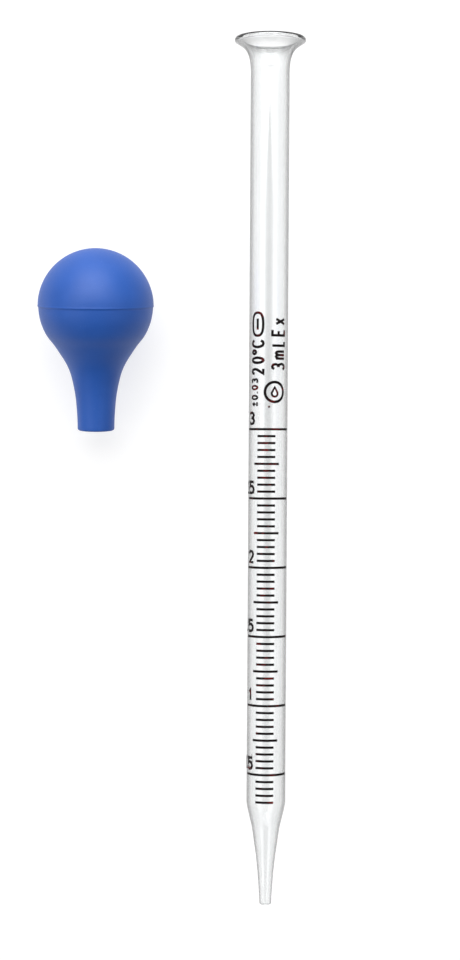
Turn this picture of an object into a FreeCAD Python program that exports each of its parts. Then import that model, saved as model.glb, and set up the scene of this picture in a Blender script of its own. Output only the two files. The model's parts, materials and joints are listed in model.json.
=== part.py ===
import FreeCAD, Part
import math
import os

# Graduated dropper pipette, 3 mL, lying on a table beside its rubber bulb.
# Millimetres, +Z up. The glass tube lies along Y with its flared mouth at +Y
# and its drawn tip at -Y; the bulb lies at -X with its neck towards -Y.
# The origin is the middle of the whole object's footprint, on the table.

# ---------------------------------------------------------------- dimensions
BARREL_R = 4.20            # outside radius of the straight barrel
BORE_R = 3.28              # bore radius; sets the spacing of the graduations
RIM_S = 185.80             # tip end to the plane of the widest circle of the rim
RIM_R = 7.65               # outside radius of the flared rim
LIP_R = 0.70               # radius of the fire-polished lip
SHOULDER_S = 22.40         # tip end to the shoulder, where the barrel starts
TIP_R = 1.25               # outside radius of the tip
TIP_BORE_R = 0.72          # bore radius at the tip
FLARE_LEN = 7.80           # length of the flare below the rim plane

INK_T = 0.045              # thickness of the fired enamel
LINE_W = 0.50              # width of a graduation line
STROKE_W = 0.54            # stroke of numerals and marks
SMALL_W = 0.42             # stroke of the small tolerance text
MARK_3ML_S = 102.48        # tip end to the 3 mL line
CAPACITY_STEP = 500.0      # cubic millimetres between two numbered lines
MAJOR_DEG = (-72.0, 70.0)
HALF_DEG = (-44.0, 33.0)
MINOR_DEG = (-33.0, 21.0)

DOME_R = 12.36             # bulb: outside radius of the upper half
SEAM_TO_CENTRE = -0.20     # the sphere's centre lies this far beyond the seam
BULB_WALL = 1.50
NECK_R = 3.97              # outside radius of the neck
NECK_BORE_R = 2.75
BULB_BELOW = 26.55         # seam to the end of the neck
NECK_BORE_LEN = 8.00
SEAM_GAP = 0.02            # the two halves are kept this far apart in the solids

BULB_DX = -36.80           # bulb centre from the tube's axis
BULB_Y_FROM_TIP = 128.30   # bulb centre from the tip end, along Y
BULB_TILT = 7.5            # dome raised above the table by this angle

STEP = CAPACITY_STEP / (math.pi * BORE_R ** 2)

# The tube rests on the rim and on the shoulder, so the mouth end is raised.
ALPHA = math.atan2(RIM_R - BARREL_R, RIM_S - SHOULDER_S)
SIN_A, COS_A = math.sin(ALPHA), math.cos(ALPHA)
AXIS_H0 = BARREL_R * COS_A - SHOULDER_S * SIN_A

# Footprint, for the origin.
X_LEFT = BULB_DX - DOME_R
X_RIGHT = RIM_R
Y_FAR = RIM_S * COS_A + LIP_R + (RIM_R - LIP_R) * SIN_A
Y_NEAR = -(TIP_R + TIP_BORE_R) / 2.0 * SIN_A
TUBE_X = -(X_LEFT + X_RIGHT) / 2.0
TUBE_Y = -(Y_FAR + Y_NEAR) / 2.0

V = FreeCAD.Vector


def turned(shape, angle_x, angle_z, pos):
    """Stand a shape built along +Z into the row frame."""
    rot = FreeCAD.Rotation(V(0, 0, 1), angle_z).multiply(FreeCAD.Rotation(V(1, 0, 0), angle_x))
    out = shape.copy()
    out.Placement = FreeCAD.Placement(pos, rot)
    return out


def place_tube(shape):
    return turned(shape, math.degrees(ALPHA) - 90.0, 0.0, V(TUBE_X, TUBE_Y, AXIS_H0))


def spline(pts, t0=None, t1=None):
    """Curve through (radius, height) points with optional end tangents."""
    vs = [V(r, 0, s) for r, s in pts]
    c = Part.BSplineCurve()
    if t0 is None:
        c.interpolate(Points=vs)
    else:
        c.interpolate(Points=vs, InitialTangent=V(t0[0], 0, t0[1]), FinalTangent=V(t1[0], 0, t1[1]))
    return c.toShape()


def seg(a, b):
    return Part.LineSegment(V(a[0], 0, a[1]), V(b[0], 0, b[1])).toShape()


def arc(a, m, b):
    return Part.Arc(V(a[0], 0, a[1]), V(m[0], 0, m[1]), V(b[0], 0, b[1])).toShape()


def lathe(edges):
    wire = Part.Wire(Part.__sortEdges__(edges))
    return Part.Face(wire).revolve(V(0, 0, 0), V(0, 0, 1), 360)


# ---------------------------------------------------------------- glass tube
def glass_tube():
    k = math.sqrt(3) / 2
    lip_c = RIM_R - LIP_R
    under = (lip_c + LIP_R * 0.5, RIM_S - LIP_R * k)
    outer_pt = (RIM_R, RIM_S)
    inner_top = (lip_c - LIP_R * 0.5, RIM_S + LIP_R * k)
    out_flare = spline(
        [(BARREL_R, RIM_S - FLARE_LEN), (4.32, RIM_S - 5.0), (4.62, RIM_S - 3.5),
         (5.22, RIM_S - 2.25), (6.12, RIM_S - 1.35), under],
        (0, 1.2), (k * 1.2, 0.6))
    lip = arc(under, outer_pt, inner_top)
    in_flare = spline(
        [inner_top, (5.50, RIM_S - 0.32), (4.45, RIM_S - 1.65), (3.76, RIM_S - 3.25),
         (3.42, RIM_S - 5.1), (BORE_R, RIM_S - FLARE_LEN)],
        (-k * 1.2, -0.6), (0, -1.6))
    bore = seg((BORE_R, RIM_S - FLARE_LEN), (BORE_R, SHOULDER_S))
    in_tip = spline(
        [(BORE_R, SHOULDER_S), (3.17, 21.0), (2.80, 19.0), (2.42, 17.0), (2.05, 14.0),
         (1.69, 11.0), (1.40, 8.0), (1.08, 4.0), (TIP_BORE_R, 0.27)],
        (0, -1.2), (-0.09, -1.0))
    tip_mid = (TIP_R + TIP_BORE_R) / 2
    tip = arc((TIP_BORE_R, 0.27), (tip_mid, 0.0), (TIP_R, 0.27))
    out_tip = spline(
        [(TIP_R, 0.27), (1.47, 4.0), (1.81, 8.0), (2.16, 11.0), (2.60, 14.0), (3.07, 17.0),
         (3.55, 19.0), (4.02, 21.0), (BARREL_R, SHOULDER_S)],
        (0.05, 1.0), (0, 1.2))
    wall = seg((BARREL_R, SHOULDER_S), (BARREL_R, RIM_S - FLARE_LEN))
    return lathe([out_flare, lip, in_flare, bore, in_tip, tip, out_tip, wall])


# ------------------------------------------------------------- fired enamel
def ring_strip(s, width, deg0, deg1):
    """A strip of enamel along the barrel's circumference, centred at height s."""
    r0, r1 = BARREL_R, BARREL_R + INK_T
    rect = Part.makePolygon([V(0, -r0, s - width / 2), V(0, -r1, s - width / 2),
                             V(0, -r1, s + width / 2), V(0, -r0, s + width / 2),
                             V(0, -r0, s - width / 2)])
    face = Part.Face(rect)
    face.rotate(V(0, 0, 0), V(0, 0, 1), deg0)
    return face.revolve(V(0, 0, 0), V(0, 0, 1), deg1 - deg0)


def outline(points, width, closed=False):
    """Both edges of a stroke of the given width along a polyline."""
    h = width / 2.0
    n = len(points)
    left, right = [], []
    for i in range(n):
        p = points[i]
        if closed:
            a, b = points[i - 1], points[(i + 1) % n]
        else:
            a = points[i - 1] if i > 0 else None
            b = points[i + 1] if i < n - 1 else None
        dirs = []
        if a is not None:
            d = math.hypot(p[0] - a[0], p[1] - a[1])
            dirs.append(((p[0] - a[0]) / d, (p[1] - a[1]) / d))
        if b is not None:
            d = math.hypot(b[0] - p[0], b[1] - p[1])
            dirs.append(((b[0] - p[0]) / d, (b[1] - p[1]) / d))
        if len(dirs) == 1:
            nx, ny = -dirs[0][1], dirs[0][0]
            m = h
        else:
            nx, ny = -(dirs[0][1] + dirs[1][1]), dirs[0][0] + dirs[1][0]
            q = math.hypot(nx, ny)
            nx, ny = nx / q, ny / q
            cosv = nx * -dirs[0][1] + ny * dirs[0][0]
            m = min(h / max(cosv, 0.1), 1.7 * h)
        left.append((p[0] + nx * m, p[1] + ny * m))
        right.append((p[0] - nx * m, p[1] - ny * m))
    if closed:
        return [left, right]
    return [left + right[::-1]]


def ring_points(cx, cy, rx, ry, n):
    return [(cx + rx * math.cos(2 * math.pi * i / n), cy + ry * math.sin(2 * math.pi * i / n)) for i in range(n)]


# Strokes of each glyph in a unit cell, as (closed, points).
GLYPHS = {
    "0": [(True, ring_points(0.5, 0.5, 0.46, 0.5, 16))],
    "1": [(False, [(0.22, 0.74), (0.55, 0.98), (0.55, 0.0)])],
    "2": [(False, [(0.05, 0.76), (0.16, 0.93), (0.45, 1.0), (0.76, 0.94), (0.92, 0.74), (0.82, 0.52),
                   (0.45, 0.24), (0.08, 0.0), (0.96, 0.0)])],
    "3": [(False, [(0.06, 0.86), (0.26, 0.98), (0.52, 1.0), (0.80, 0.92), (0.90, 0.75), (0.78, 0.59), (0.42, 0.53)]),
          (False, [(0.42, 0.53), (0.82, 0.46), (0.96, 0.27), (0.82, 0.07), (0.50, 0.0), (0.22, 0.03), (0.03, 0.15)])],
    "5": [(False, [(0.90, 1.0), (0.18, 1.0), (0.12, 0.56), (0.36, 0.64), (0.64, 0.62), (0.88, 0.48), (0.95, 0.29),
                   (0.82, 0.08), (0.50, 0.0), (0.22, 0.02), (0.03, 0.13)])],
    ".": [(False, [(0.5, -0.06), (0.5, 0.09)])],
    "m": [(False, [(0.02, 0.0), (0.02, 0.72)]),
          (False, [(0.02, 0.50), (0.12, 0.67), (0.28, 0.72), (0.43, 0.66), (0.50, 0.50), (0.50, 0.0)]),
          (False, [(0.50, 0.50), (0.60, 0.67), (0.76, 0.72), (0.91, 0.66), (0.98, 0.50), (0.98, 0.0)])],
    "L": [(False, [(0.10, 1.0), (0.10, 0.0), (0.95, 0.0)])],
    "E": [(False, [(0.92, 1.0), (0.05, 1.0), (0.05, 0.0), (0.92, 0.0)]), (False, [(0.05, 0.52), (0.75, 0.52)])],
    "x": [(False, [(0.03, 0.0), (0.97, 0.72)]), (False, [(0.03, 0.72), (0.97, 0.0)])],
    "o": [(True, ring_points(0.5, 0.80, 0.34, 0.17, 10))],
    "C": [(False, [(0.95, 0.80), (0.76, 0.96), (0.50, 1.0), (0.22, 0.93), (0.05, 0.72), (0.0, 0.5), (0.05, 0.28),
                   (0.22, 0.07), (0.50, 0.0), (0.76, 0.04), (0.95, 0.20)])],
    "+": [(False, [(0.5, 0.30), (0.5, 0.96)]), (False, [(0.08, 0.63), (0.92, 0.63)]), (False, [(0.08, 0.06), (0.92, 0.06)])],
}


def enamel(strokes, width, u_c, s_c):
    """Wrap flat strokes, given as (closed, [(u, s)]) in mm along the wall, onto the barrel."""
    phi = u_c / BARREL_R
    tx, ty = math.cos(phi), math.sin(phi)          # along the circumference
    nx, ny = math.sin(phi), -math.cos(phi)         # outwards

    def at(u, s, r):
        t = BARREL_R * math.sin((u - u_c) / BARREL_R)
        return V(nx * r + tx * t, ny * r + ty * t, s)

    r_low, r_high = 3.0, BARREL_R + 0.6
    prism = None
    for closed, pts in strokes:
        solids = []
        for lp in outline(pts, width, closed):
            vs = [at(u, s, r_low) for u, s in lp]
            solids.append(Part.Face(Part.makePolygon(vs + [vs[0]])).extrude(V(nx, ny, 0) * (r_high - r_low)))
        solids.sort(key=lambda f: f.Volume, reverse=True)
        solid = solids[0].cut(solids[1]) if closed else solids[0]
        prism = solid if prism is None else prism.fuse(solid)
    shell = Part.makeCylinder(BARREL_R + INK_T, 12.0, V(0, 0, s_c - 6.0)).cut(
        Part.makeCylinder(BARREL_R, 14.0, V(0, 0, s_c - 7.0)))
    return prism.common(shell).Solids


def upright(text, u_right, s_base, w, h, gap, width):
    """A numeral standing along the barrel, its right edge at u_right."""
    cells = [(c, w * (0.28 if c == "." else 1.0)) for c in text]
    total = sum(cw for _, cw in cells) + gap * (len(cells) - 1)
    u = u_right - total
    out = []
    for c, cw in cells:
        strokes = [(cl, [(u + x * cw, s_base + y * h) for x, y in pts]) for cl, pts in GLYPHS[c]]
        out += enamel(strokes, width, u + cw / 2, s_base + h / 2)
        u += cw + gap
    return out


def sideways(items, u_base, h, width):
    """Marks read from the tip towards the mouth: (glyph, start, width along the barrel)."""
    out = []
    for c, s0, w in items:
        strokes = [(cl, [(u_base - y * h, s0 + x * w) for x, y in pts]) for cl, pts in GLYPHS[c]]
        out += enamel(strokes, width, u_base - h / 2, s0 + w / 2)
    return out


def level(ml):
    return MARK_3ML_S - (3.0 - ml) / 0.5 * STEP


majors, halves, minors = [], [], []
for i in range(55):
    ml = 3.0 - 0.05 * i
    s = level(ml)
    if i % 10 == 0:
        majors.append(ring_strip(s, LINE_W, *MAJOR_DEG))
    elif i % 5 == 0:
        halves.append(ring_strip(s, LINE_W, *HALF_DEG))
    else:
        minors.append(ring_strip(s, LINE_W, *MINOR_DEG))

numerals = []
for text, ml in (("3", 3.0), ("2.5", 2.5), ("2", 2.0), ("1.5", 1.5), ("1", 1.0), ("0.5", 0.5)):
    numerals += upright(text, -3.32, level(ml) + 1.12, 1.55, 2.40, 0.72, 0.56)

capacity = sideways([("3", 115.24, 1.22), ("m", 117.52, 1.56), ("L", 120.20, 0.95),
                     ("E", 122.42, 1.30), ("x", 124.90, 1.10)], 3.70, 2.97, STROKE_W)
temperature = sideways([("2", 114.22, 1.16), ("0", 116.58, 1.18), ("o", 118.34, 1.10), ("C", 119.98, 1.46)],
                       -1.18, 2.79, STROKE_W + 0.03)
tolerance = sideways([("+", 107.30, 1.00), ("0", 108.82, 0.82), (".", 110.14, 0.30), ("0", 110.94, 0.82),
                      ("3", 112.36, 0.84)], -2.52, 1.50, SMALL_W)


def oblong(u_c, s_c, half_u, half_s, n):
    """A closed outline between an ellipse and a rounded rectangle."""
    pts = []
    for i in range(n):
        a = 2 * math.pi * i / n
        cu, cs = math.cos(a), math.sin(a)
        pts.append((u_c + half_u * math.copysign(abs(cu) ** 0.75, cu), s_c + half_s * math.copysign(abs(cs) ** 0.75, cs)))
    return pts


# Plain oblong outline with a bar in it, and a ring round a drop, as generic marks.
oval = enamel([(True, oblong(-2.55, 124.86, 1.30, 2.45, 28))], STROKE_W, -2.55, 124.86)
oval += enamel([(False, [(-2.55, 123.70), (-2.55, 126.05)])], STROKE_W, -2.55, 124.86)
RING_U, RING_S = 1.32, 110.42
ring = enamel([(True, [(RING_U + 2.12 * math.cos(2 * math.pi * i / 32),
                        RING_S + 2.12 * math.sin(2 * math.pi * i / 32)) for i in range(32)])], 0.58, RING_U, RING_S)
drop = [(RING_U, RING_S + 1.02)]
for i in range(15):
    a = math.radians(42.0 - 264.0 * i / 14)
    drop.append((RING_U + 0.66 * math.cos(a), RING_S - 0.34 + 0.66 * math.sin(a)))
bead = enamel([(True, drop)], 0.44, RING_U, RING_S)
dot = enamel([(False, [(0.10, 107.05), (0.10, 107.47)])], 0.42, 0.10, 107.26)


# ------------------------------------------------------------------ bulb
def dome():
    """Upper half: a thick-walled spherical cap that ends on the seam plane."""
    c = SEAM_TO_CENTRE
    r_in = DOME_R - BULB_WALL
    z0 = SEAM_GAP / 2
    a = (math.sqrt(DOME_R ** 2 - (z0 - c) ** 2), z0)
    b = (math.sqrt(r_in ** 2 - (z0 - c) ** 2), z0)
    h = math.sqrt(0.5)
    return lathe([
        arc(a, (DOME_R * h, c + DOME_R * h), (0, c + DOME_R)),
        seg((0, c + DOME_R), (0, c + r_in)),
        arc((0, c + r_in), (r_in * h, c + r_in * h), b),
        seg(b, a)])


def lower():
    """Lower half: bowl, funnel and neck, open at the neck's end."""
    z0 = -SEAM_GAP / 2
    end = -BULB_BELOW
    outer = [(12.25, z0), (12.15, -1.4), (11.75, -3.2), (11.15, -4.9), (10.31, -6.5), (9.00, -8.2),
             (7.63, -10.2), (6.45, -12.1), (5.55, -14.1), (4.93, -16.4), (4.44, -19.0), (4.14, -22.0),
             (NECK_R, end + 0.45)]
    inner_start = math.sqrt((DOME_R - BULB_WALL) ** 2 - SEAM_TO_CENTRE ** 2)
    inner = [(NECK_BORE_R, end + NECK_BORE_LEN), (3.02, -16.9), (3.75, -14.6), (4.75, -12.4), (6.00, -10.2),
             (7.38, -8.2), (8.67, -6.3), (9.62, -4.5), (10.35, -2.6), (inner_start, z0)]
    e_out = spline(outer, (0, -1.4), (0, -2.0))
    edge = arc((NECK_R, end + 0.45), (NECK_R - 0.45 * (1 - math.sqrt(0.5)), end + 0.45 * (1 - math.sqrt(0.5))),
               (NECK_R - 0.45, end))
    e_end = seg((NECK_R - 0.45, end), (NECK_BORE_R, end))
    e_bore = seg((NECK_BORE_R, end), (NECK_BORE_R, end + NECK_BORE_LEN))
    e_in = spline(inner, (0, 1.6), (0.1, 1.4))
    e_seam = seg((inner_start, z0), (12.25, z0))
    return lathe([e_out, edge, e_end, e_bore, e_in, e_seam])


dome_solid, lower_solid = dome(), lower()
drop_z = 0.0
for half in (lower_solid, dome_solid):
    trial = turned(half, BULB_TILT - 90.0, 0.0, V(0, 0, 0))
    drop_z = max(drop_z, -trial.optimalBoundingBox(False, False).ZMin)
BULB_POS = V(TUBE_X + BULB_DX, TUBE_Y + BULB_Y_FROM_TIP, drop_z)

parts = {
    "glass_tube": [place_tube(glass_tube())],
    "graduation_major_lines": [place_tube(s) for s in majors],
    "graduation_half_lines": [place_tube(s) for s in halves],
    "graduation_minor_lines": [place_tube(s) for s in minors],
    "scale_numerals": [place_tube(s) for s in numerals],
    "capacity_mark": [place_tube(s) for s in capacity],
    "temperature_mark": [place_tube(s) for s in temperature],
    "tolerance_mark": [place_tube(s) for s in tolerance],
    "oval_mark": [place_tube(s) for s in oval],
    "ring_mark": [place_tube(s) for s in ring + bead + dot],
    "bulb_body": [turned(lower_solid, BULB_TILT - 90.0, 0.0, BULB_POS)],
    "bulb_dome": [turned(dome_solid, BULB_TILT - 90.0, 0.0, BULB_POS)],
}

os.makedirs("parts", exist_ok=True)
for name, solids in parts.items():
    shape = solids[0] if len(solids) == 1 else Part.makeCompound(solids)
    shape.exportStep("parts/" + name + ".step")
    ok = all(s.isValid() and s.ShapeType == "Solid" for s in solids)
    print("%-24s %3d solids  ok=%s  volume %.3f mm3" % (name, len(solids), ok, sum(s.Volume for s in solids)))

whole = Part.makeCompound([s for g in parts.values() for s in g]).BoundBox
print("alpha %.4f deg, step %.4f mm, axis_h0 %.4f" % (math.degrees(ALPHA), STEP, AXIS_H0))
print("tube at %.4f %.4f, bulb at %s" % (TUBE_X, TUBE_Y, tuple(round(v, 4) for v in BULB_POS)))
print("box x %.3f %.3f y %.3f %.3f z %.3f %.3f" % (whole.XMin, whole.XMax, whole.YMin, whole.YMax, whole.ZMin, whole.ZMax))
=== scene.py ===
import json
import math
import random

import bmesh
import bpy
from mathutils import Matrix, Vector, noise

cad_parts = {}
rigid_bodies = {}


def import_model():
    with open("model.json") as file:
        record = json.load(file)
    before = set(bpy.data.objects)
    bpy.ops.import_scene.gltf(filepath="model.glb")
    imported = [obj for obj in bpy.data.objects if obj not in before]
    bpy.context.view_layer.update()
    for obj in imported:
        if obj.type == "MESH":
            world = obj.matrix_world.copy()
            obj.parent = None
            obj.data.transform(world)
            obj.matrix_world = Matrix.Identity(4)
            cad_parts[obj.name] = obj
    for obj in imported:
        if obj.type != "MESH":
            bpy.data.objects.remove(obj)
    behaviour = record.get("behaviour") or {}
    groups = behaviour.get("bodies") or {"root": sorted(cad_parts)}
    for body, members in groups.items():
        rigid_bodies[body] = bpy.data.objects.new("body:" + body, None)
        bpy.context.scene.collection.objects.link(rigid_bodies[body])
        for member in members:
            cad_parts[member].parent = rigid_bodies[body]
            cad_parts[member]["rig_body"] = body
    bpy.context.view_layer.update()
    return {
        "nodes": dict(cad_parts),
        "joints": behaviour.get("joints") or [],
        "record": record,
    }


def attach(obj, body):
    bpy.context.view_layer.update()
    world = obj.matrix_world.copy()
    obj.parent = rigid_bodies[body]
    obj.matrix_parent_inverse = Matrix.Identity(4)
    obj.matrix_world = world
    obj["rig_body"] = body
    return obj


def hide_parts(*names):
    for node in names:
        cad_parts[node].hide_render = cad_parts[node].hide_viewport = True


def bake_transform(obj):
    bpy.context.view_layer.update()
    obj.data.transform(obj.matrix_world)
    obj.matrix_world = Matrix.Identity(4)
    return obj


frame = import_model()

MM = 0.001
MOUNTS = {m["name"]: m for m in frame["record"]["mounts"]}
JOINTS = {j["name"]: j for j in frame["joints"]}

# ------------------------------------------------------------------ sizes, mm
BARREL_R, BORE_R = 4.20, 3.28
RIM_S, RIM_R, LIP_R = 185.80, 7.65, 0.70
SHOULDER_S, TIP_R, TIP_BORE_R = 22.40, 1.25, 0.72
FLARE_LEN = 7.80
INK_T = 0.045
DOME_R, SEAM_C, BULB_WALL = 12.36, -0.20, 1.50
NECK_R, NECK_BORE_R, BULB_BELOW, NECK_BORE_LEN = 3.97, 2.75, 26.55, 8.00


def axis_frame(origin, along):
    """Local frame whose +Z runs along the part's axis and whose -Y faces up."""
    z = Vector(along).normalized()
    up = (Vector((0, 0, 1)) - z * z.z).normalized()
    x = z.cross(up).normalized()
    m = Matrix.Identity(4)
    for i in range(3):
        m[i][0], m[i][1], m[i][2], m[i][3] = x[i], -up[i], z[i], origin[i]
    return m


bore = MOUNTS["mouth_bore"]
tube_axis = Vector(bore["axis"]).normalized()
tube_origin = Vector(bore["pos_m"]) - tube_axis * ((SHOULDER_S + RIM_S - FLARE_LEN) / 2 * MM)
TUBE = axis_frame(tube_origin, tube_axis)

neck = MOUNTS["bulb_neck"]
bulb_axis = -Vector(neck["axis"]).normalized()
seam_centre = Vector(neck["pos_m"]) + bulb_axis * ((BULB_BELOW - NECK_BORE_LEN / 2) * MM)
BULB = axis_frame(seam_centre, bulb_axis)


# ----------------------------------------------------------------- curve tools
def spline(points, t0, t1, per=8):
    """Natural-length cubic through points, with end directions t0 and t1."""
    n = len(points)
    d = [math.dist(points[i], points[i + 1]) for i in range(n - 1)]
    tang = []
    for k in range(2):
        a, b, c, r = [0.0] * n, [1.0] * n, [0.0] * n, [0.0] * n
        r[0], r[-1] = t0[k], t1[k]
        for i in range(1, n - 1):
            a[i], b[i], c[i] = d[i], 2 * (d[i - 1] + d[i]), d[i - 1]
            r[i] = 3 * (d[i] * (points[i][k] - points[i - 1][k]) / d[i - 1]
                        + d[i - 1] * (points[i + 1][k] - points[i][k]) / d[i])
        for i in range(1, n):
            w = a[i] / b[i - 1]
            b[i] -= w * c[i - 1]
            r[i] -= w * r[i - 1]
        m = [0.0] * n
        m[-1] = r[-1] / b[-1]
        for i in range(n - 2, -1, -1):
            m[i] = (r[i] - c[i] * m[i + 1]) / b[i]
        tang.append(m)
    out = []
    for i in range(n - 1):
        steps = per if i < n - 2 else per + 1
        for j in range(steps):
            t = j / per
            h00, h10 = 2 * t ** 3 - 3 * t ** 2 + 1, t ** 3 - 2 * t ** 2 + t
            h01, h11 = -2 * t ** 3 + 3 * t ** 2, t ** 3 - t ** 2
            out.append(tuple(h00 * points[i][k] + h10 * d[i] * tang[k][i]
                             + h01 * points[i + 1][k] + h11 * d[i] * tang[k][i + 1] for k in range(2)))
    return out


def unit(v):
    q = math.hypot(*v)
    return (v[0] / q, v[1] / q)


def arc(cx, cy, r, a0, a1, n):
    return [(cx + r * math.cos(math.radians(a0 + (a1 - a0) * i / n)),
             cy + r * math.sin(math.radians(a0 + (a1 - a0) * i / n))) for i in range(n + 1)]


def even(a, b, step):
    n = max(1, int(abs(b[1] - a[1]) / step))
    return [(a[0] + (b[0] - a[0]) * i / n, a[1] + (b[1] - a[1]) * i / n) for i in range(n + 1)]


def join(*runs):
    out = []
    for run in runs:
        for p in run:
            if not out or math.dist(out[-1], p) > 1e-4:
                out.append(p)
    if math.dist(out[0], out[-1]) < 1e-4:
        out.pop()
    return out


def lathe(name, profile, segments, matrix, shape=None, closed=True):
    """Turns a (radius, height) profile in mm; a radius of 0 becomes one shared point."""
    bm = bmesh.new()
    rings = []
    for k, (r, s) in enumerate(profile):
        if r < 1e-4:
            rings.append([bm.verts.new((0, 0, s * MM))])
            continue
        ring = []
        for i in range(segments):
            a = 2 * math.pi * i / segments
            p = Vector((r * math.sin(a), -r * math.cos(a), s))
            if shape:
                p = shape(p, r, s, a, k)
            ring.append(bm.verts.new(p * MM))
        rings.append(ring)
    pairs = list(zip(rings, rings[1:])) + ([(rings[-1], rings[0])] if closed else [])
    for p, q in pairs:
        for i in range(segments):
            j = (i + 1) % segments
            if len(p) == 1 and len(q) == 1:
                continue
            if len(p) == 1:
                bm.faces.new((p[0], q[j], q[i]))
            elif len(q) == 1:
                bm.faces.new((p[i], p[j], q[0]))
            else:
                bm.faces.new((p[i], p[j], q[j], q[i]))
    bmesh.ops.recalc_face_normals(bm, faces=bm.faces)
    me = bpy.data.meshes.new(name)
    bm.to_mesh(me)
    bm.free()
    me.transform(matrix)
    for f in me.polygons:
        f.use_smooth = True
    ob = bpy.data.objects.new(name, me)
    bpy.context.scene.collection.objects.link(ob)
    return ob


# ------------------------------------------------------------------ materials
def new_material(name):
    mat = bpy.data.materials.new(name)
    mat.use_nodes = True
    nt = mat.node_tree
    bsdf = nt.nodes.get("Principled BSDF")
    return mat, nt, bsdf


def node(nt, kind, **values):
    n = nt.nodes.new(kind)
    for k, v in values.items():
        if k.startswith("in_"):
            n.inputs[k[3:].replace("_", " ")].default_value = v
        else:
            setattr(n, k, v)
    return n


def ramp(nt, fac, stops):
    n = nt.nodes.new("ShaderNodeValToRGB")
    while len(n.color_ramp.elements) < len(stops):
        n.color_ramp.elements.new(0.5)
    for e, (pos, col) in zip(n.color_ramp.elements, stops):
        e.position, e.color = pos, col
    nt.links.new(fac, n.inputs["Fac"])
    return n


def srgb(r, g, b):
    def lin(c):
        c /= 255.0
        return c / 12.92 if c <= 0.04045 else ((c + 0.055) / 1.055) ** 2.4
    return (lin(r), lin(g), lin(b), 1.0)


# Painted shade for the glass: a tint set by facing, dark at the edges and in a narrow stripe where the glass faces
# straight on.
PAINTED_SHADE_BY_FACING = [(0.0, 0.79), (0.004, 0.82), (0.009, 0.89), (0.02, 0.97), (0.05, 1.0), (0.12, 0.98), (0.19, 0.90), (0.23, 0.83),
        (0.274, 0.735), (0.325, 0.63), (0.387, 0.50), (0.46, 0.35), (0.55, 0.21), (0.67, 0.12), (1.0, 0.04)]


def glass_material():
    mat, nt, b = new_material("clear_glass")
    b.inputs["Transmission Weight"].default_value = 1.0
    b.inputs["IOR"].default_value = 1.474
    b.inputs["Roughness"].default_value = 0.0
    tc = node(nt, "ShaderNodeTexCoord")
    mp = node(nt, "ShaderNodeMapping")
    mp.inputs["Scale"].default_value = (900, 14, 900)
    nt.links.new(tc.outputs["Object"], mp.inputs["Vector"])
    n1 = node(nt, "ShaderNodeTexNoise", in_Scale=1.0, in_Detail=3.0, in_Roughness=0.5)
    nt.links.new(mp.outputs["Vector"], n1.inputs["Vector"])
    bump = node(nt, "ShaderNodeBump", in_Strength=0.03, in_Distance=0.0002)
    nt.links.new(n1.outputs["Fac"], bump.inputs["Height"])
    nt.links.new(bump.outputs["Normal"], b.inputs["Normal"])
    # Painted shade: the outside of the glass gets a darker tint where it turns edge on, plus a narrow darker stripe
    # where it faces straight on. These stand in for the grey edges and the shadow line seen through the tube. The bore
    # side stays clear.
    lw = node(nt, "ShaderNodeLayerWeight", in_Blend=0.5)
    edge = ramp(nt, lw.outputs["Facing"], [(f, (v * 0.970, v * 0.978, v * 0.980, 1)) for f, v in PAINTED_SHADE_BY_FACING])
    side = node(nt, "ShaderNodeAttribute", attribute_name="bore_side")
    painted_shade_tint = node(nt, "ShaderNodeMix", data_type="RGBA", blend_type="MIX")
    nt.links.new(side.outputs["Fac"], painted_shade_tint.inputs["Factor"])
    nt.links.new(edge.outputs["Color"], painted_shade_tint.inputs["A"])
    painted_shade_tint.inputs["B"].default_value = (0.970, 0.978, 0.980, 1)
    nt.links.new(painted_shade_tint.outputs["Result"], b.inputs["Base Color"])
    return mat


def enamel_material():
    mat, nt, b = new_material("fired_enamel")
    tc = node(nt, "ShaderNodeTexCoord")
    n1 = node(nt, "ShaderNodeTexNoise", in_Scale=420.0, in_Detail=3.0, in_Roughness=0.6)
    nt.links.new(tc.outputs["Object"], n1.inputs["Vector"])
    col = ramp(nt, n1.outputs["Fac"], [(0.30, srgb(10, 6, 6)), (0.57, srgb(18, 7, 7)), (0.67, srgb(92, 16, 16)), (0.80, srgb(124, 24, 22))])
    nt.links.new(col.outputs["Color"], b.inputs["Base Color"])
    n2 = node(nt, "ShaderNodeTexNoise", in_Scale=2600.0, in_Detail=2.0, in_Roughness=0.5)
    nt.links.new(tc.outputs["Object"], n2.inputs["Vector"])
    rr = node(nt, "ShaderNodeMapRange")
    rr.inputs["To Min"].default_value, rr.inputs["To Max"].default_value = 0.42, 0.68
    nt.links.new(n2.outputs["Fac"], rr.inputs["Value"])
    nt.links.new(rr.outputs["Result"], b.inputs["Roughness"])
    bump = node(nt, "ShaderNodeBump", in_Strength=0.35, in_Distance=0.00003)
    nt.links.new(n2.outputs["Fac"], bump.inputs["Height"])
    nt.links.new(bump.outputs["Normal"], b.inputs["Normal"])
    b.inputs["Specular IOR Level"].default_value = 0.15
    return mat


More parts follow.
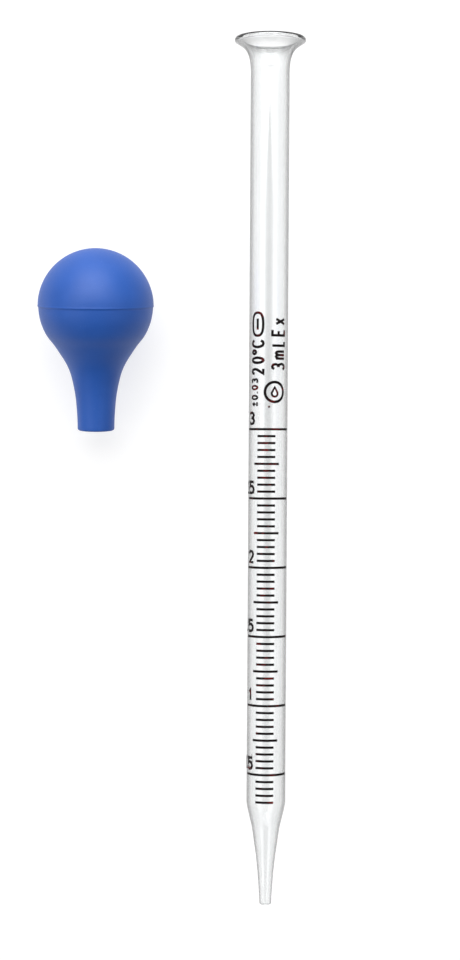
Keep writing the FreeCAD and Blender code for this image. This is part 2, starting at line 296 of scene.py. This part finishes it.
def rubber_material():
    mat, nt, b = new_material("blue_rubber")
    tc = node(nt, "ShaderNodeTexCoord")
    big = node(nt, "ShaderNodeTexNoise", in_Scale=90.0, in_Detail=4.0, in_Roughness=0.55)
    fine = node(nt, "ShaderNodeTexNoise", in_Scale=2400.0, in_Detail=3.0, in_Roughness=0.6)
    speck = node(nt, "ShaderNodeTexVoronoi", in_Scale=900.0)
    for n in (big, fine, speck):
        nt.links.new(tc.outputs["Object"], n.inputs["Vector"])
    base = ramp(nt, big.outputs["Fac"], [(0.30, (0.010, 0.088, 0.415, 1)), (0.50, (0.012, 0.096, 0.448, 1)), (0.72, (0.015, 0.106, 0.482, 1))])
    dust = ramp(nt, speck.outputs["Distance"], [(0.0, (1, 1, 1, 1)), (0.09, (0, 0, 0, 1)), (1.0, (0, 0, 0, 1))])
    mix = node(nt, "ShaderNodeMix", data_type="RGBA", blend_type="MIX")
    k = node(nt, "ShaderNodeMath", operation="MULTIPLY")
    k.inputs[1].default_value = 0.16
    nt.links.new(dust.outputs["Color"], k.inputs[0])
    nt.links.new(k.outputs["Value"], mix.inputs["Factor"])
    nt.links.new(base.outputs["Color"], mix.inputs["A"])
    mix.inputs["B"].default_value = srgb(150, 176, 226)
    nt.links.new(mix.outputs["Result"], b.inputs["Base Color"])
    rr = node(nt, "ShaderNodeMapRange")
    rr.inputs["To Min"].default_value, rr.inputs["To Max"].default_value = 0.46, 0.60
    nt.links.new(fine.outputs["Fac"], rr.inputs["Value"])
    nt.links.new(rr.outputs["Result"], b.inputs["Roughness"])
    bump = node(nt, "ShaderNodeBump", in_Strength=0.20, in_Distance=0.00006)
    nt.links.new(fine.outputs["Fac"], bump.inputs["Height"])
    nt.links.new(bump.outputs["Normal"], b.inputs["Normal"])
    b.inputs["Specular IOR Level"].default_value = 0.62
    return mat


GLASS, ENAMEL, RUBBER = glass_material(), enamel_material(), rubber_material()


def finish_piece(ob, mat):
    ob.data.materials.clear()
    ob.data.materials.append(mat)


# ----------------------------------------------------------------- glass tube
k3 = math.sqrt(3) / 2
lip_c = RIM_R - LIP_R
under = (lip_c + LIP_R * 0.5, RIM_S - LIP_R * k3)
inner_top = (lip_c - LIP_R * 0.5, RIM_S + LIP_R * k3)
tip_mid = (TIP_R + TIP_BORE_R) / 2
tube_profile = join(
    spline([(TIP_R, 0.27), (1.47, 4.0), (1.81, 8.0), (2.16, 11.0), (2.60, 14.0), (3.07, 17.0),
            (3.55, 19.0), (4.02, 21.0), (BARREL_R, SHOULDER_S)], unit((0.05, 1)), (0, 1)),
    even((BARREL_R, SHOULDER_S), (BARREL_R, RIM_S - FLARE_LEN), 1.5),
    spline([(BARREL_R, RIM_S - FLARE_LEN), (4.32, RIM_S - 5.0), (4.62, RIM_S - 3.5), (5.22, RIM_S - 2.25),
            (6.12, RIM_S - 1.35), under], (0, 1), (k3, 0.5)),
    arc(lip_c, RIM_S, LIP_R, -60, 120, 18),
    spline([inner_top, (5.50, RIM_S - 0.32), (4.45, RIM_S - 1.65), (3.76, RIM_S - 3.25), (3.42, RIM_S - 5.1),
            (BORE_R, RIM_S - FLARE_LEN)], (-k3, -0.5), (0, -1)),
    even((BORE_R, RIM_S - FLARE_LEN), (BORE_R, SHOULDER_S), 1.5),
    spline([(BORE_R, SHOULDER_S), (3.17, 21.0), (2.80, 19.0), (2.42, 17.0), (2.05, 14.0), (1.69, 11.0),
            (1.40, 8.0), (1.08, 4.0), (TIP_BORE_R, 0.27)], (0, -1), unit((-0.09, -1))),
    arc(tip_mid, 0.27, TIP_R - tip_mid, 180, 360, 10),
)
tube = lathe("glass_tube_clear", tube_profile, 160, TUBE)
lip_top = [k for k, (r, s) in enumerate(tube_profile) if abs(r - lip_c) < 1e-6 and s > RIM_S][0]
bore_end = [k for k, (r, s) in enumerate(tube_profile) if abs(r - TIP_BORE_R) < 1e-6][-1]
side = tube.data.attributes.new("bore_side", "FLOAT", "POINT")
side.data.foreach_set("value", [min(1.0, max(0.0, (RIM_S - 1.0 - s) / 3.0)) if lip_top < k <= bore_end else 0.0
                                for k, (r, s) in enumerate(tube_profile) for i in range(160)])
finish_piece(tube, GLASS)
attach(tube, "tube")
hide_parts("glass_tube")
tube.visible_shadow = False

for n in frame["nodes"]:
    if n.startswith("bulb") or n == "glass_tube":
        continue
    o = frame["nodes"][n]
    o.data.materials.clear()
    o.data.materials.append(ENAMEL)

# ---------------------------------------------------------------- rubber bulb
r_in = DOME_R - BULB_WALL
a_seam = math.degrees(math.asin(-SEAM_C / DOME_R))
seam_r = DOME_R * math.cos(math.radians(a_seam))
dome_out = [(r - 0.045 * (1 - min(1.0, max(0.0, s / 3.0))) ** 2, s) for r, s in arc(0, SEAM_C, DOME_R, 90, a_seam, 46)]
lower_out = spline([(12.20, -0.42), (12.10, -1.4), (11.75, -3.2), (11.15, -4.9), (10.31, -6.5), (9.00, -8.2),
                    (7.63, -10.2), (6.45, -12.1), (5.55, -14.1), (4.93, -16.4), (4.44, -19.0), (4.14, -22.0),
                    (NECK_R, -BULB_BELOW + 0.45)], unit((-0.09, -1)), (0, -1), per=7)
edge = arc(NECK_R - 0.45, -BULB_BELOW + 0.45, 0.45, 0, -90, 6)
inner_edge = arc(NECK_BORE_R + 0.20, -BULB_BELOW + 0.20, 0.20, -90, -180, 4)
lower_in = spline([(NECK_BORE_R, -BULB_BELOW + NECK_BORE_LEN), (3.02, -16.9), (3.75, -14.6), (4.75, -12.4),
                   (6.00, -10.2), (7.38, -8.2), (8.67, -6.3), (9.62, -4.5), (10.35, -2.6),
                   (math.sqrt(r_in ** 2 - SEAM_C ** 2), 0.0)], (0, 1), unit((0.1, 1.4)), per=5)
dome_in = arc(0, SEAM_C, r_in, math.degrees(math.asin(-SEAM_C / r_in)), 90, 30)
# The moulding line: a fine ridge left where the two halves of the mould met.
ridge = [(seam_r - 0.042, 0.24), (seam_r - 0.026, 0.13), (seam_r - 0.006, 0.04), (seam_r - 0.002, -0.04),
         (seam_r - 0.012, -0.12), (seam_r - 0.055, -0.20), (seam_r - 0.105, -0.29)]
bulb_profile = join(
    [q for q in dome_out if q[1] > 0.32],
    ridge, lower_out, edge, inner_edge,
    even((NECK_BORE_R, -BULB_BELOW + 0.2), (NECK_BORE_R, -BULB_BELOW + NECK_BORE_LEN), 0.8),
    lower_in, dome_in)
bulb_profile = [(max(r, 0.0), s) for r, s in bulb_profile]


def bulb_shape(p, r, s, a, k):
    """Moulded rubber isn't quite true: it is drawn in here and there by a few hundredths."""
    q = Vector((p.x * 0.09, p.y * 0.09, p.z * 0.09 + 7.0))
    d = 0.5 + 0.5 * noise.noise(q)
    out = Vector((p.x, p.y, 0))
    n = out.normalized() if out.length > 1e-6 else Vector((0, 0, 0))
    return p - n * (0.06 * d * min(1.0, r / 2.0))


bulb = lathe("rubber_bulb", bulb_profile, 192, BULB, bulb_shape, closed=False)
finish_piece(bulb, RUBBER)
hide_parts("bulb_body", "bulb_dome")
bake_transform(bulb)
bulb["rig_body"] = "bulb"


# -------------------------------------------------------------------- stage
def make_floor():
    me = bpy.data.meshes.new("floor")
    bm = bmesh.new()
    bmesh.ops.create_grid(bm, x_segments=2, y_segments=2, size=8.0)
    bm.to_mesh(me)
    bm.free()
    ob = bpy.data.objects.new("floor", me)
    ob.location = (0, 0, 0)
    bpy.context.scene.collection.objects.link(ob)
    mat, nt, b = new_material("floor_pale")
    b.inputs["Base Color"].default_value = (0.34, 0.34, 0.34, 1)
    b.inputs["Roughness"].default_value = 0.9
    b.inputs["Specular IOR Level"].default_value = 0.1
    b.inputs["Emission Color"].default_value = (1, 1, 1, 1)
    b.inputs["Emission Strength"].default_value = 0.74
    me.materials.append(mat)
    return ob


make_floor()


def area(name, loc, target, size, power):
    li = bpy.data.lights.new(name, "AREA")
    li.shape = "RECTANGLE"
    li.size, li.size_y = size
    li.energy = power
    ob = bpy.data.objects.new(name, li)
    ob.location = loc
    ob.rotation_mode = "QUATERNION"
    ob.rotation_quaternion = (Vector(target) - Vector(loc)).to_track_quat("-Z", "Y")
    bpy.context.scene.collection.objects.link(ob)
    return ob


area("key", (-0.08, 0.67, 0.74), (0, 0, 0), (1.0, 1.2), 13.4)
area("side_left", (-0.72, 0.0, 0.80), (0, 0, 0), (1.2, 0.62), 3.2)
area("side_right", (0.72, 0.0, 0.80), (0, 0, 0), (1.2, 0.62), 1.9)

world = bpy.data.worlds.new("studio")
bpy.context.scene.world = world
world.use_nodes = True
wt = world.node_tree
bg = wt.nodes["Background"]
tc = node(wt, "ShaderNodeTexCoord")
sep = node(wt, "ShaderNodeSeparateXYZ")
wt.links.new(tc.outputs["Generated"], sep.inputs["Vector"])
wr = ramp(wt, sep.outputs["Z"], [(0.0, (0.45, 0.46, 0.48, 1)), (0.30, (0.80, 0.81, 0.82, 1)), (0.6, (1.0, 1.0, 1.0, 1)),
                                 (1.0, (1.0, 1.0, 1.0, 1))])
wt.links.new(wr.outputs["Color"], bg.inputs["Color"])
bg.inputs["Strength"].default_value = 0.08
# The room is dim, but what is seen directly behind the table is a pale backdrop.
backdrop = node(wt, "ShaderNodeBackground")
backdrop.inputs["Color"].default_value = (0.94, 0.945, 0.95, 1)
seen = node(wt, "ShaderNodeLightPath")
mixed = node(wt, "ShaderNodeMixShader")
wt.links.new(seen.outputs["Is Camera Ray"], mixed.inputs["Fac"])
wt.links.new(bg.outputs["Background"], mixed.inputs[1])
wt.links.new(backdrop.outputs["Background"], mixed.inputs[2])
wt.links.new(mixed.outputs["Shader"], wt.nodes["World Output"].inputs["Surface"])

bpy.context.scene.view_settings.view_transform = "Standard"
bpy.context.scene.view_settings.look = "None"
bpy.context.scene.view_settings.exposure = 0.0
bpy.context.scene.view_settings.gamma = 1.0

cam_data = bpy.data.cameras.new("camera")
cam_data.lens = 80.0
cam_data.sensor_width = 36.0
cam_data.clip_start, cam_data.clip_end = 0.01, 10.0
cam = bpy.data.objects.new("camera", cam_data)
cam.location = (tube_origin.x - 8.12 * MM, tube_origin.y + 91.50 * MM, 464.6 * MM)
cam.rotation_euler = (0, 0, math.radians(0.33))
bpy.context.scene.collection.objects.link(cam)
bpy.context.scene.camera = cam

bpy.context.view_layer.update()
